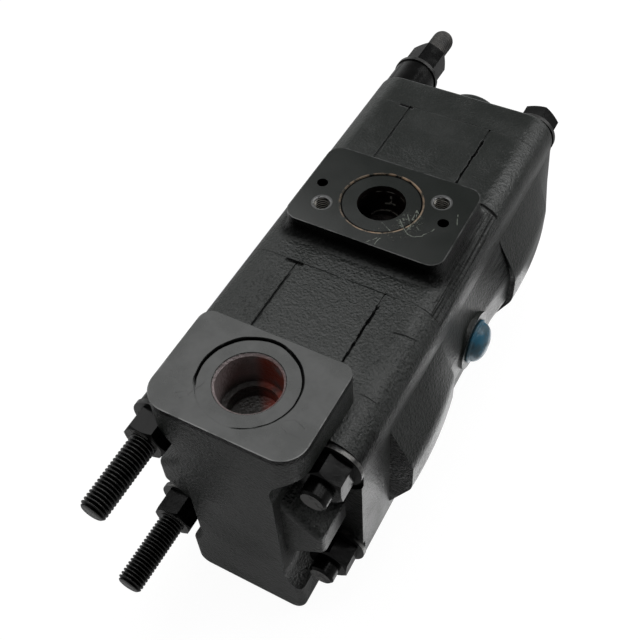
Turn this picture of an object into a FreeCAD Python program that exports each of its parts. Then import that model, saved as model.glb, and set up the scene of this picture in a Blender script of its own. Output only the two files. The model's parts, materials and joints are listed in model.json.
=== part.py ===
import FreeCAD, Part
import math
import os
import re

import Sketcher

# A two-section rotary gear flow divider. Five iron castings stand in a stack along Y and four
# tie rods clamp them. Each section has a pair of meshed gears, and the upper gears are coupled.
# The origin is the centre of the inlet port's face, on top of the centre block. Z is up, and
# the long studs stand out at the near end, towards -Y. All sizes are in millimetres.
SIZES = {
    # the stack, from the near end to the far end
    "near_cover_length": 58,
    "housing_length": 59,
    "block_length": 78,
    "far_cover_length": 24,
    "inlet_to_rear_joint": 31.5,
    "inlet_height": 68,
    # the outline that the castings share, seen along the stack
    "body_half_width": 56.4,
    "body_half_height": 56.3,
    "corner_radius": 16,
    "housing_bulge": 69.0,
    "housing_bulge_end": 65.5,
    "housing_bulge_taper": 27,
    "block_bulge": 62.3,
    "block_rear_bulge": 66,
    "block_rear_bulge_length": 30,
    "cover_bulge_end": 57.4,
    "bulge_root": 34,
    "bulge_flat": 10,
    "bulge_radius": 16,
    "edge_radius": 2.5,
    "seam_offset": 25,
    "seam_width": 1.0,
    "seam_depth": 0.7,
    # tie rods, their nuts, washers and collars
    "stud_across": 42.5,
    "stud_up": 40,
    "stud_radius": 7,
    "stud_hole_clearance": 0.5,
    "stud_end": 42.5,
    "stud_chamfer": 1.2,
    "stud_nose": 5,
    "far_stud_end": 68.5,
    "bolt_end": 6.5,
    "head_height": 13,
    "nut_flats": 21,
    "nut_height": 13,
    "high_nut_height": 21,
    "bevel_start": 10.1,
    "bevel_reach": 13.5,
    "nut_bore_clearance": 0.05,
    "washer_radius": 14.3,
    "washer_thickness": 2.5,
    "washer_bore_clearance": 0.4,
    "collar_radius": 13.5,
    "near_collar_length": 17,
    "far_collar_length": 21,
    # near end cover
    "flange_front": 28,
    "seat_depth": 30,
    "scallop_radius": 18,
    "trunk_half_width": 25.3,
    "top_pad_half_width": 40,
    "top_pad_height": 76,
    "bottom_pad_half_width": 34,
    "bottom_pad_depth": 83,
    "pad_front_radius": 13,
    "pad_rear_radius": 7,
    "foot_radius": 8,
    "foot_front_radius": 4,
    "gusset_front": 5,
    "gusset_reach": 47,
    "gusset_tip": 8,
    "gusset_root": 26,
    "gusset_radius": 4,
    # outlet port of the front section, on the near end cover
    "near_port_place": 30.2,
    "spotface_radius": 24.3,
    "spotface_depth": 1.0,
    "near_thread_radius": 15.6,
    "near_thread_depth": 22,
    "near_thread_chamfer": 1.4,
    "near_bore_radius": 12.7,
    "near_bore_depth": 30,
    "near_drop_place": 23,
    # inlet port on the centre block
    "inlet_pad_left": 43.4,
    "inlet_pad_right": 45.8,
    "inlet_pad_half_length": 29.9,
    "inlet_pad_radius": 8,
    "inlet_pad_foot_radius": 2,
    "seal_recess_radius": 21.8,
    "seal_recess_depth": 0.5,
    "inlet_bore_radius": 12.9,
    "inlet_bore_depth": 22,
    "flange_screw_across": 28.3,
    "flange_screw_along": 13.4,
    "flange_screw_radius": 4.25,
    "flange_screw_depth": 20,
    "flange_screw_chamfer": 0.7,
    "locating_pin_across": 35,
    "locating_pin_radius": 3,
    "locating_pin_depth": 10,
    # outlet port of the rear section, on the side of the centre block, and its plug
    "side_port_place": 34,
    "side_boss_radius": 17,
    "side_boss_reach": 63,
    "side_thread_radius": 10.5,
    "side_thread_depth": 16,
    "plug_stem_clearance": 0.3,
    "plug_stem_length": 12,
    "plug_flange_radius": 12.8,
    "plug_flange_thickness": 2,
    "plug_cap_radius": 10.5,
    "plug_cap_height": 6,
    "plug_cap_chamfer": 2.5,
    # cast passages between the ports and the gear chambers
    "passage_radius": 8,
    "passage_across": 28,
    "high_passage": 50,
    "drop_across": 24,
    # gears, journals, bushes and thrust plates
    "gear_teeth": 12,
    "gear_module": 3.5,
    "gear_centres": 45.5,
    "gear_tip_radius": 26.25,
    "gear_root_clearance": 0.45,
    "gear_thinning": 0.16,
    "gear_side_clearance": 0.05,
    "chamber_clearance": 0.3,
    "side_pocket_reach": 30,
    "side_pocket_radius": 10,
    "plate_thickness": 5,
    "plate_rim_clearance": 0.05,
    "plate_bore_clearance": 0.5,
    "journal_radius": 12,
    "journal_length": 19.5,
    "journal_chamfer": 0.8,
    "journal_clearance": 0.04,
    "bush_length": 20,
    "bush_wall": 5,
    "bush_rim_clearance": 0.02,
    "bush_end_relief": 0.5,
    "cover_boss_radius": 20.7,
    "cover_boss_height": 19,
    "cover_boss_radius_edge": 3,
    # coupling shaft between the upper gears
    "spline_teeth": 8,
    "spline_root_radius": 6.6,
    "spline_tip_radius": 8.2,
    "spline_clearance": 0.08,
    "socket_depth": 12,
    "coupling_engagement": 11,
    "coupling_tunnel_radius": 9.5,
    # section seals and dowel pins in the joints
    "seal_top": 53,
    "seal_top_half": 16,
    "seal_side": 45,
    "seal_side_half": 8,
    "seal_width": 2.5,
    "seal_depth": 1.9,
    "dowel_across": 28,
    "dowel_up": 49,
    "dowel_radius": 3,
    "dowel_length": 16,
    "dowel_clearance": 0.05,
    "dowel_end_relief": 0.4,
}

# Places of the joint planes along Y, and of the line halfway between the gear centres.
INLET_PLACE = "(block_length - inlet_to_rear_joint)"
BLOCK_Y = "-" + INLET_PLACE
FRONT_Y = BLOCK_Y + " - housing_length"
NEAR_Y = FRONT_Y + " - near_cover_length"
REAR_Y = BLOCK_Y + " + block_length"
FAR_Y = REAR_Y + " + housing_length"
END_Y = FAR_Y + " + far_cover_length"
AXIS_Z = "-inlet_height"
SEAT_Y = NEAR_Y + " + seat_depth"

# How far each nut or head came round when it was tightened, in degrees, by end, side and level.
TURNS = {
    ("near", -1, 1): 30,
    ("near", -1, -1): 22,
    ("near", 1, 1): -3,
    ("near", 1, -1): 4,
    ("far", -1, 1): -5,
    ("far", -1, -1): 17,
    ("far", 1, 1): 15,
    ("far", 1, -1): 8,
}

PRESSURE_ANGLE = math.radians(20)
# Points along each flank, set closer together towards the root, where an involute bends most.
FLANK_STEPS = 5
FLANK_CROWDING = 1.5
# Half the width of a spline tooth at its root and tip, as shares of half the pitch.
SPLINE_ROOT_SHARE = 0.6
SPLINE_TIP_SHARE = 0.35
ALONG_Y = FreeCAD.Rotation(FreeCAD.Vector(1, 0, 0), -90)
ALONG_X = FreeCAD.Rotation(FreeCAD.Vector(0, 1, 0), 90)
UPWARDS = FreeCAD.Rotation()
SIDES = (-1, 1)

DOC = FreeCAD.newDocument("flow_divider")
SHEET = DOC.addObject("Spreadsheet::Sheet", "Sizes")
PARTS = []


def fill_sheet():
    """Writes each size beside its name, and gives its cell that name."""
    for row, (name, value) in enumerate(SIZES.items(), 1):
        SHEET.set(f"A{row}", name)
        SHEET.set(f"B{row}", str(value))
        SHEET.setAlias(f"B{row}", name)
    DOC.recompute()


def size(name):
    """The sheet's number for a size."""
    return float(SHEET.get(name))


def full(text):
    """The expression with each size's name pointing into the sheet."""
    return re.sub(r"[a-z_]+", lambda word: "Sizes." + word.group() if word.group() in SIZES else word.group(), text)


def bind(thing, **sizes):
    """Ties properties to sizes; a double underscore in a name stands for a dot."""
    for name, text in sizes.items():
        thing.setExpression(name.replace("__", "."), full(str(text)))


def place(thing, x="0", y="0", z="0"):
    bind(thing, Placement__Base__x=x, Placement__Base__y=y, Placement__Base__z=z)


def signed(side, text):
    return f"-({text})" if side < 0 else text


def mirrored(right):
    """An outline from its right half, listed from top to bottom."""
    left = [(signed(-1, u), v) for u, v in reversed(right)]
    return right + left


# Sketches


def new_body(name, y="0", z=AXIS_Z, x="0"):
    body = DOC.addObject("PartDesign::Body", name)
    body.Label = name
    place(body, x, y, z)
    return body


def new_sketch(body, name, role, offset="0"):
    """A sketch on one of the body's own planes, moved by offset along the plane's normal."""
    sketch = body.newObject("Sketcher::SketchObject", name)
    plane = [feature for feature in body.Origin.OriginFeatures if feature.Role == role][0]
    sketch.AttachmentSupport = [(plane, "")]
    sketch.MapMode = "FlatFace"
    bind(sketch, AttachmentOffset__Base__z=offset)
    return sketch


def fix_coordinate(sketch, kind, line, text, start):
    """Holds the line's first point at a signed distance from the sketch's origin."""
    if text == "0":
        axis = -2 if kind == "DistanceX" else -1
        sketch.addConstraint(Sketcher.Constraint("PointOnObject", line, 1, axis))
    elif text.startswith("-"):
        index = sketch.addConstraint(Sketcher.Constraint(kind, line, 1, -1, 1, -start))
        sketch.setExpression(f"Constraints[{index}]", full(text[1:]))
    else:
        index = sketch.addConstraint(Sketcher.Constraint(kind, -1, 1, line, 1, start))
        sketch.setExpression(f"Constraints[{index}]", full(text))


def outline(sketch, points):
    """A closed outline with straight sides, each corner held by its own two distances."""
    count = len(points)
    turn = 2 * math.pi / count
    start = [FreeCAD.Vector(50 * math.cos(turn * i), 50 * math.sin(turn * i), 0) for i in range(count)]
    for i in range(count):
        sketch.addGeometry(Part.LineSegment(start[i], start[(i + 1) % count]), False)
    for i in range(count):
        sketch.addConstraint(Sketcher.Constraint("Coincident", i, 2, (i + 1) % count, 1))
    for i, (across, up) in enumerate(points):
        fix_coordinate(sketch, "DistanceX", i, across, start[i].x)
        fix_coordinate(sketch, "DistanceY", i, up, start[i].y)


# Features of a body


def pad_along_y(body, name, points, start, length):
    """Solid with an outline in X and Z, from start along Y."""
    sketch = new_sketch(body, name + "_outline", "XZ_Plane", f"-({start})")
    outline(sketch, points)
    pad = body.newObject("PartDesign::Pad", name)
    pad.Profile = sketch
    pad.Reversed = True
    bind(pad, Length=length)
    return pad


def pad_upwards(body, name, points, start, height):
    """Solid with an outline in X and Y, from start upwards."""
    sketch = new_sketch(body, name + "_outline", "XY_Plane", start)
    outline(sketch, points)
    pad = body.newObject("PartDesign::Pad", name)
    pad.Profile = sketch
    bind(pad, Length=height)
    return pad


def turned(body, name, points, about="V_Axis"):
    """Solid of revolution about Y, or about X, from its half section in X and Y."""
    sketch = new_sketch(body, name + "_section", "XY_Plane")
    outline(sketch, points)
    turning = body.newObject("PartDesign::Revolution", name)
    turning.Profile = sketch
    turning.ReferenceAxis = (sketch, [about])
    turning.Angle = 360
    return turning


def cylinder(body, kind, name, rotation, radius, length, x="0", y="0", z="0"):
    """Adds or cuts a cylinder whose base centre is at x, y, z in the body's frame."""
    feature = body.newObject(f"PartDesign::{kind}Cylinder", name)
    feature.Placement = FreeCAD.Placement(FreeCAD.Vector(), rotation)
    bind(feature, Radius=radius, Height=length)
    place(feature, x, y, z)
    return feature


def bore(body, name, rotation, radius, length, x="0", y="0", z="0"):
    return cylinder(body, "Subtractive", name, rotation, radius, length, x, y, z)


def box(body, kind, name, width, length, height, x="0", y="0", z="0"):
    """Adds or cuts a box whose lowest corner is at x, y, z in the body's frame."""
    feature = body.newObject(f"PartDesign::{kind}Box", name)
    bind(feature, Length=width, Width=length, Height=height)
    place(feature, x, y, z)
    return feature


def round_edges(body, name, radius, wanted):
    """Rounds the straight or curved edges that the test picks."""
    DOC.recompute()
    base = body.Tip
    names = [f"Edge{i}" for i, edge in enumerate(base.Shape.Edges, 1) if wanted(edge)]
    fillet = body.newObject("PartDesign::Fillet", name)
    fillet.Base = (base, names)
    bind(fillet, Radius=radius)
    return fillet


def bevel_mouths(body, name, radius, bevel, z):
    """Bevels the mouths of the upright holes of one radius in the face at height z."""
    DOC.recompute()
    base = body.Tip
    wide = size(radius)
    names = [f"Edge{i}" for i, edge in enumerate(base.Shape.Edges, 1) if is_rim(edge, wide, z)]
    chamfer = body.newObject("PartDesign::Chamfer", name)
    chamfer.Base = (base, names)
    bind(chamfer, Size=bevel)


def same(a, b):
    return abs(a - b) < 0.001


def runs_along(edge, axis):
    """Whether the edge is straight and parallel to x, y or z."""
    ends = [vertex.Point for vertex in edge.Vertexes]
    if len(ends) != 2:
        return False
    way = ends[1] - ends[0]
    return same(abs(getattr(way, axis)), edge.Length)


def is_rim(edge, radius, z):
    """Whether the edge is a level circle of the radius at height z in the body's frame."""
    start = edge.valueAt(edge.FirstParameter)
    opposite = edge.valueAt((edge.FirstParameter + edge.LastParameter) / 2)
    return same(start.z, z) and same(opposite.z, z) and same((opposite - start).Length, 2 * radius)


def lies_at(edge, **places):
    """Whether the middle of the edge has the given absolute x or z, or the given y."""
    middle = edge.valueAt((edge.FirstParameter + edge.LastParameter) / 2)
    found = {"x": abs(middle.x), "y": middle.y, "z": abs(middle.z)}
    return all(same(found[axis], value) for axis, value in places.items())


def beyond(edge, width):
    """Whether the edge runs from one Y to another, further out than the width."""
    ends = [edge.valueAt(edge.FirstParameter), edge.valueAt(edge.LastParameter)]
    return not same(ends[0].y, ends[1].y) and all(abs(end.x) > width for end in ends)


def finish(thing):
    """Keeps the piece for the checks and the files."""
    PARTS.append(thing)
    return thing


def group(name, pieces):
    """Like pieces in one node, each still a solid of its own."""
    compound = DOC.addObject("Part::Compound", name)
    compound.Label = name
    compound.Links = pieces
    return finish(compound)


# Forms that the castings share


def plain_outline():
    return mirrored([("body_half_width", "body_half_height"), ("body_half_width", "-body_half_height")])


def round_body_corners(body):
    width = size("body_half_width")
    height = size("body_half_height")
    round_edges(body, "corners", "corner_radius",
                lambda edge: runs_along(edge, "y") and lies_at(edge, x=width, z=height))


def swelling(body, name, stations):
    """Lofts a swelling on each side, over the side passages, through its reach at each place."""
    for side in SIDES:
        sections = []
        for start, reach in stations:
            section = new_sketch(body, name + "_section", "XZ_Plane", f"-({start})")
            outline(section, [
                (signed(side, "stud_across"), "bulge_root"),
                (signed(side, "body_half_width"), "bulge_root"),
                (signed(side, reach), "bulge_flat"),
                (signed(side, reach), "-bulge_flat"),
                (signed(side, "body_half_width"), "-bulge_root"),
                (signed(side, "stud_across"), "-bulge_root"),
            ])
            sections.append(section)
        DOC.recompute()
        loft = body.newObject("PartDesign::AdditiveLoft", name)
        loft.Profile = sections[0]
        loft.Sections = sections[1:]
    flat = size("bulge_flat")
    width = size("body_half_width")
    round_edges(body, name + "_crests", "bulge_radius",
                lambda edge: beyond(edge, width) and lies_at(edge, z=flat))


def stud_holes(body, start, length):
    for side in SIDES:
        for level in SIDES:
            bore(body, "stud_hole", ALONG_Y, "stud_radius + stud_hole_clearance", length,
                 signed(side, "stud_across"), start, signed(level, "stud_up"))


def dowel_holes(body, start):
    """Two holes on a diagonal, half a dowel deep, with a little room at their ends."""
    for side in SIDES:
        bore(body, "dowel_hole", ALONG_Y, "dowel_radius + dowel_clearance",
             "dowel_length / 2 + dowel_end_relief",
             signed(side, "dowel_across"), start, signed(-side, "dowel_up"))


def dowel_holes_at_start(body):
    dowel_holes(body, "0")


def dowel_holes_at_end(body, length):
    dowel_holes(body, f"{length} - dowel_length / 2 - dowel_end_relief")


def bearing_bores(body, start):
    for level in SIDES:
        bore(body, "bearing_bore", ALONG_Y, "journal_radius + journal_clearance + bush_wall",
             "bush_length + bush_end_relief", "0", start, signed(level, "gear_centres / 2"))


def bearing_bores_at_start(body):
    bearing_bores(body, "0")


def bearing_bores_at_end(body, length):
    bearing_bores(body, f"{length} - bush_length - bush_end_relief")


def seal_ring(body, kind, start):
    """Sweeps the seal's square section round the gear chamber, as a seal or as its groove."""
    path = new_sketch(body, "seal_path", "XZ_Plane", f"-({start})")
    outline(path, [
        ("0", "seal_top"),
        ("seal_top_half", "seal_top"),
        ("seal_side", "seal_side_half"),
        ("seal_side", "-seal_side_half"),
        ("seal_top_half", "-seal_top"),
        ("-seal_top_half", "-seal_top"),
        ("-seal_side", "-seal_side_half"),
        ("-seal_side", "seal_side_half"),
        ("-seal_top_half", "seal_top"),
    ])
    section = new_sketch(body, "seal_section", "YZ_Plane")
    bind(section, AttachmentOffset__Base__x=start)
    outline(section, [
        ("0", "seal_top - seal_width / 2"),
        ("seal_depth", "seal_top - seal_width / 2"),
        ("seal_depth", "seal_top + seal_width / 2"),
        ("0", "seal_top + seal_width / 2"),
    ])
    DOC.recompute()
    ring = body.newObject(f"PartDesign::{kind}Pipe", "seal_ring")
    ring.Profile = section
    ring.Spine = (path, [f"Edge{i}" for i in range(1, 10)])
    ring.Transition = "Right corner"
    return ring


# Castings


def near_end_cover():
    """Port cover: a flange, a narrow trunk with pads above and below, and wrench room at the nuts."""
    body = new_body("near_end_cover", NEAR_Y)
    pad_along_y(body, "tower", mirrored([
        ("top_pad_half_width", "top_pad_height"),
        ("top_pad_half_width", "stud_up"),
        ("trunk_half_width", "stud_up"),
        ("trunk_half_width", "-stud_up"),
        ("bottom_pad_half_width", "-stud_up"),
        ("bottom_pad_half_width", "-bottom_pad_depth"),
    ]), "0", "near_cover_length")
    pad_half = size("top_pad_half_width")
    foot_half = size("bottom_pad_half_width")
    foot = size("bottom_pad_depth")
    length = size("near_cover_length")
    round_edges(body, "pad_front_corners", "pad_front_radius",
                lambda edge: runs_along(edge, "z") and lies_at(edge, x=pad_half, y=0))
    round_edges(body, "pad_rear_corners", "pad_rear_radius",
                lambda edge: runs_along(edge, "z") and lies_at(edge, x=pad_half, y=length))
    round_edges(body, "foot_corners", "foot_radius",
                lambda edge: runs_along(edge, "y") and lies_at(edge, x=foot_half, z=foot))
    round_edges(body, "foot_front", "foot_front_radius",
                lambda edge: runs_along(edge, "z") and lies_at(edge, x=foot_half, y=0))
    flange_outline(body)
    gussets(body)
    for side in SIDES:
        for level in SIDES:
            bore(body, "wrench_room", ALONG_Y, "scallop_radius", "seat_depth",
                 signed(side, "stud_across"), "0", signed(level, "stud_up"))
    stud_holes(body, "seat_depth", "near_cover_length - seat_depth")
    near_port(body)
    bearing_bores_at_end(body, "near_cover_length")
    dowel_holes_at_end(body, "near_cover_length")
    return finish(body)


def flange_outline(body):
    """The near cover's flange, built as a cross of two boxes with a cylinder in each corner."""
    depth = "near_cover_length - flange_front"
    box(body, "Additive", "flange_wide", "2 * body_half_width", depth,
        "2 * (body_half_height - corner_radius)",
        "-body_half_width", "flange_front", "corner_radius - body_half_height")
    box(body, "Additive", "flange_tall", "2 * (body_half_width - corner_radius)", depth,
        "2 * body_half_height",
        "corner_radius - body_half_width", "flange_front", "-body_half_height")
    for side in SIDES:
        for level in SIDES:
            cylinder(body, "Additive", "flange_corner", ALONG_Y, "corner_radius", depth,
                     signed(side, "body_half_width - corner_radius"), "flange_front",
                     signed(level, "body_half_height - corner_radius"))


def gussets(body):
    """The passage's swelling on each side of the trunk, between the upper and lower nuts."""
    pad_along_y(body, "gusset", mirrored([
        ("trunk_half_width", "gusset_root"),
        ("gusset_reach", "gusset_tip"),
        ("gusset_reach", "-gusset_tip"),
        ("trunk_half_width", "-gusset_root"),
    ]), "gusset_front", "flange_front - gusset_front")
    reach = size("gusset_reach")
    tip = size("gusset_tip")
    front = size("gusset_front")
    trunk = size("trunk_half_width")
    round_edges(body, "gusset_tips", "gusset_radius",
                lambda edge: runs_along(edge, "y") and lies_at(edge, x=reach, z=tip))
    round_edges(body, "gusset_front_edges", "gusset_radius",
                lambda edge: lies_at(edge, y=front) and not lies_at(edge, x=trunk))


def near_port(body):
    """Threaded top port with its spotface, and the passage down and across to the chamber."""
    top = "top_pad_height"
    bore(body, "spotface", UPWARDS, "spotface_radius", "spotface_depth",
         "0", "near_port_place", f"{top} - spotface_depth")
    bore(body, "port_thread", UPWARDS, "near_thread_radius", "near_thread_depth",
         "0", "near_port_place", f"{top} - near_thread_depth")
    bore(body, "port_bore", UPWARDS, "near_bore_radius", "near_bore_depth",
         "0", "near_port_place", f"{top} - near_bore_depth")
    bore(body, "drop", UPWARDS, "passage_radius", "high_passage", "0", "near_drop_place")
    bore(body, "crossing", ALONG_X, "passage_radius", "passage_across", "0", "near_drop_place")
    bore(body, "way_to_chamber", ALONG_Y, "passage_radius", "near_cover_length - near_drop_place",
         "passage_across", "near_drop_place")
    bevel_mouths(body, "port_mouth", "near_thread_radius", "near_thread_chamfer",
                 size("top_pad_height") - size("spotface_depth"))


def gear_housing(name, y):
    """Housing of one gear pair: a figure-eight chamber with a pocket on each side."""
    body = new_body(name, y)
    pad_along_y(body, "casting", plain_outline(), "0", "housing_length")
    round_body_corners(body)
    swelling(body, "swelling", [
        ("0", "housing_bulge"),
        ("housing_length - housing_bulge_taper", "housing_bulge"),
        ("housing_length", "housing_bulge_end"),
    ])
    for level in SIDES:
        bore(body, "gear_bore", ALONG_Y, "gear_tip_radius + chamber_clearance", "housing_length",
             "0", "0", signed(level, "gear_centres / 2"))
    box(body, "Subtractive", "side_pockets", "2 * side_pocket_reach", "housing_length",
        "2 * side_pocket_radius", "-side_pocket_reach", "0", "-side_pocket_radius")
    for side in SIDES:
        bore(body, "pocket_end", ALONG_Y, "side_pocket_radius", "housing_length",
             signed(side, "side_pocket_reach"))
        box(body, "Subtractive", "casting_seam", "seam_width", "housing_length", "seam_depth",
            f"{signed(side, 'seam_offset')} - seam_width / 2", "0", "body_half_height - seam_depth")
    stud_holes(body, "0", "housing_length")
    dowel_holes_at_start(body)
    dowel_holes_at_end(body, "housing_length")
    seal_ring(body, "Subtractive", "0")
    seal_ring(body, "Subtractive", "housing_length - seal_depth")
    return finish(body)


def centre_port_block():
    """Block between the sections, with the inlet on top and the side outlet."""
    body = new_body("centre_port_block", BLOCK_Y)
    pad_along_y(body, "casting", plain_outline(), "0", "block_length")
    round_body_corners(body)
    swelling(body, "swelling", [
        ("0", "block_bulge"),
        ("block_length - block_rear_bulge_length", "block_bulge"),
        ("block_length", "block_rear_bulge"),
    ])
    inlet_pad(body)
    cylinder(body, "Additive", "side_boss", ALONG_X, "side_boss_radius", "side_boss_reach",
             "0", "side_port_place")
    stud_holes(body, "0", "block_length")
    inlet_port(body)
    side_port(body)
    bearing_bores_at_start(body)
    bearing_bores_at_end(body, "block_length")
    bore(body, "coupling_tunnel", ALONG_Y, "coupling_tunnel_radius", "block_length",
         "0", "0", "gear_centres / 2")
    dowel_holes_at_start(body)
    dowel_holes_at_end(body, "block_length")
    return finish(body)


def inlet_pad(body):
    near = INLET_PLACE + " - inlet_pad_half_length"
    far = INLET_PLACE + " + inlet_pad_half_length"
    pad_upwards(body, "inlet_pad", [
        ("inlet_pad_right", near),
        ("inlet_pad_right", far),
        ("-inlet_pad_left", far),
        ("-inlet_pad_left", near),
    ], "stud_up", "inlet_height - stud_up")
    sides = [size("inlet_pad_left"), size("inlet_pad_right")]
    round_edges(body, "inlet_pad_corners", "inlet_pad_radius",
                lambda edge: runs_along(edge, "z") and any(lies_at(edge, x=side) for side in sides))
    top = size("body_half_height")
    near_wall = size("block_length") - size("inlet_to_rear_joint") - size("inlet_pad_half_length")
    round_edges(body, "inlet_pad_foot", "inlet_pad_foot_radius",
                lambda edge: runs_along(edge, "x") and lies_at(edge, y=near_wall, z=top))


def inlet_port(body):
    """Inlet bore with its face-seal recess and flange holes, and its passage to both sections."""
    top = "inlet_height"
    centre = INLET_PLACE
    bore(body, "seal_recess", UPWARDS, "seal_recess_radius", "seal_recess_depth",
         "0", centre, f"{top} - seal_recess_depth")
    bore(body, "inlet_bore", UPWARDS, "inlet_bore_radius", "inlet_bore_depth",
         "0", centre, f"{top} - inlet_bore_depth")
    for side in SIDES:
        bore(body, "flange_screw_hole", UPWARDS, "flange_screw_radius", "flange_screw_depth",
             signed(side, "flange_screw_across"), f"{centre} + {signed(side, 'flange_screw_along')}",
             f"{top} - flange_screw_depth")
        bore(body, "pin_hole", UPWARDS, "locating_pin_radius", "locating_pin_depth",
             signed(side, "locating_pin_across"), centre, f"{top} - locating_pin_depth")
    bore(body, "high_crossing", ALONG_X, "passage_radius", "drop_across",
         "-drop_across", centre, "high_passage")
    bore(body, "drop", UPWARDS, "passage_radius", "high_passage", "-drop_across", centre)
    bore(body, "inlet_gallery", ALONG_Y, "passage_radius", "block_length", "-passage_across")
    bevel_mouths(body, "screw_hole_mouths", "flange_screw_radius", "flange_screw_chamfer", size(top))


def side_port(body):
    """Threaded side outlet with its passage to the rear section."""
    bore(body, "side_thread", ALONG_X, "side_thread_radius", "side_thread_depth",
         "side_boss_reach - side_thread_depth", "side_port_place")
    bore(body, "side_bore", ALONG_X, "passage_radius", "side_boss_reach - passage_across",
         "passage_across", "side_port_place")
    bore(body, "outlet_gallery", ALONG_Y, "passage_radius", "block_length - side_port_place",
         "passage_across", "side_port_place")


def far_end_cover():
    """Closing cover with the two bearing bosses on its far face."""
    body = new_body("far_end_cover", FAR_Y)
    pad_along_y(body, "casting", plain_outline(), "0", "far_cover_length")
    round_body_corners(body)
    swelling(body, "swelling", [("0", "housing_bulge_end"), ("far_cover_length", "cover_bulge_end")])
    depth = size("far_cover_length")
    round_edges(body, "far_edges", "edge_radius", lambda edge: lies_at(edge, y=depth))
    for level in SIDES:
        cylinder(body, "Additive", "bearing_boss", ALONG_Y, "cover_boss_radius",
                 "far_cover_length + cover_boss_height", "0", "0", signed(level, "gear_centres / 2"))
    tip = size("far_cover_length") + size("cover_boss_height")
    round_edges(body, "boss_edges", "cover_boss_radius_edge", lambda edge: lies_at(edge, y=tip))
    stud_holes(body, "0", "far_cover_length")
    bearing_bores_at_start(body)
    dowel_holes_at_start(body)
    return finish(body)


# Tie rods and their fastenings


def hexagon():
    """Corners of a nut's or head's hexagon in X and Z, with a corner pointing up."""
    half = "nut_flats / 2"
    corner = "nut_flats / sqrt(3)"
    low = "nut_flats / sqrt(3) / 2"
    return [("0", corner), (half, low), (half, f"-({low})"),
            ("0", f"-({corner})"), (f"-({half})", f"-({low})"), (f"-({half})", low)]


def long_stud(name, level):
    """Double-ended stud with a bevelled near end and a rounded far end."""
    length = "stud_end + near_cover_length + 2 * housing_length + block_length + far_cover_length"
    body = new_body(name, NEAR_Y + " - stud_end", AXIS_Z + " + " + signed(level, "stud_up"), "-stud_across")
    turned(body, "rod", [
        ("0", "0"),
        ("stud_radius - stud_chamfer", "0"),
        ("stud_radius", "stud_chamfer"),
        ("stud_radius", f"{length} + far_stud_end - stud_nose"),
        ("stud_radius / 2", f"{length} + far_stud_end"),
        ("0", f"{length} + far_stud_end"),
    ])
    return finish(body)


def hexagon_bolt(name, level):
    """Bolt from the far end to the near nut, with its hexagon head on the far cover."""
    shank = "near_cover_length + 2 * housing_length + block_length + far_cover_length + washer_thickness - bolt_end"
    body = new_body(name, NEAR_Y + " + bolt_end", AXIS_Z + " + " + signed(level, "stud_up"), "stud_across")
    turned(body, "rod", [
        ("0", "0"),
        ("stud_radius - stud_chamfer", "0"),
        ("stud_radius", "stud_chamfer"),
        ("stud_radius", shank),
        ("0", shank),
    ])
    pad_along_y(body, "head", hexagon(), shank, "head_height")
    bevel_hexagon(body, f"{shank} + head_height", "-")
    body.Placement.Rotation = FreeCAD.Rotation(FreeCAD.Vector(0, 1, 0), TURNS["far", 1, level])
    return finish(body)


def bevel_hexagon(body, face, inwards):
    """Cuts the corners of a hexagon's outer face to the usual thirty-degree cone."""
    sketch = new_sketch(body, "bevel_section", "XY_Plane")
    outline(sketch, [
        ("bevel_start", face),
        ("bevel_reach", face),
        ("bevel_reach", f"{face} {inwards} (bevel_reach - bevel_start) * tan(30)"),
    ])
    groove = body.newObject("PartDesign::Groove", "bevel")
    groove.Profile = sketch
    groove.ReferenceAxis = (sketch, ["V_Axis"])
    groove.Angle = 360


def nut(height, x, y, z, turn, opposite=False):
    """Hexagon nut with its bevelled face at y, towards the near end or turned to the far one."""
    body = new_body("nut", y, z, x)
    pad_along_y(body, "hexagon", hexagon(), "0", height)
    bevel_hexagon(body, "0", "+")
    bore(body, "thread", ALONG_Y, "stud_radius + nut_bore_clearance", height)
    tightened = FreeCAD.Rotation(FreeCAD.Vector(0, 1, 0), turn)
    if opposite:
        tightened = tightened * FreeCAD.Rotation(FreeCAD.Vector(0, 0, 1), 180)
    body.Placement.Rotation = tightened
    return body


def ring(name, inner, outer, length, x, y, z):
    """A plain ring round the Y direction: a washer, a collar or a bush."""
    body = new_body(name, y, z, x)
    turned(body, "ring", [(inner, "0"), (outer, "0"), (outer, length), (inner, length)])
    return body


def fastenings():
    """Nuts, washers and collars at both ends, each kind at one end in one node."""
    near_nuts, near_washers, near_collars = [], [], []
    far_nuts, far_washers, far_collars = [], [], []
    inner = "stud_radius + washer_bore_clearance"
    for side in SIDES:
        near_seat = SEAT_Y + " - near_collar_length" if side < 0 else SEAT_Y
        far_seat = END_Y + " + far_collar_length" if side < 0 else END_Y
        for level in SIDES:
            x = signed(side, "stud_across")
            z = AXIS_Z + " + " + signed(level, "stud_up")
            near_washers.append(ring("washer", inner, "washer_radius", "washer_thickness",
                                     x, near_seat + " - washer_thickness", z))
            near_nuts.append(nut("nut_height", x, near_seat + " - washer_thickness - nut_height", z,
                                 TURNS["near", side, level]))
            far_washers.append(ring("washer", inner, "washer_radius", "washer_thickness", x, far_seat, z))
            if side < 0:
                near_collars.append(ring("collar", inner, "collar_radius", "near_collar_length",
                                         x, near_seat, z))
                far_collars.append(ring("collar", inner, "collar_radius", "far_collar_length", x, END_Y, z))
                far_nuts.append(nut("high_nut_height", x, far_seat + " + washer_thickness + high_nut_height",
                                    z, TURNS["far", side, level], opposite=True))
    group("near_nuts", near_nuts)
    group("near_washers", near_washers)
    group("near_collars", near_collars)
    group("far_nuts", far_nuts)
    group("far_washers", far_washers)
    group("far_collars", far_collars)


# Gears, coupling, bushes and plates


def polar(radius, angle, y=0.0):
    return FreeCAD.Vector(radius * math.cos(angle), y, radius * math.sin(angle))


def involute(angle):
    return math.tan(angle) - angle


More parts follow.
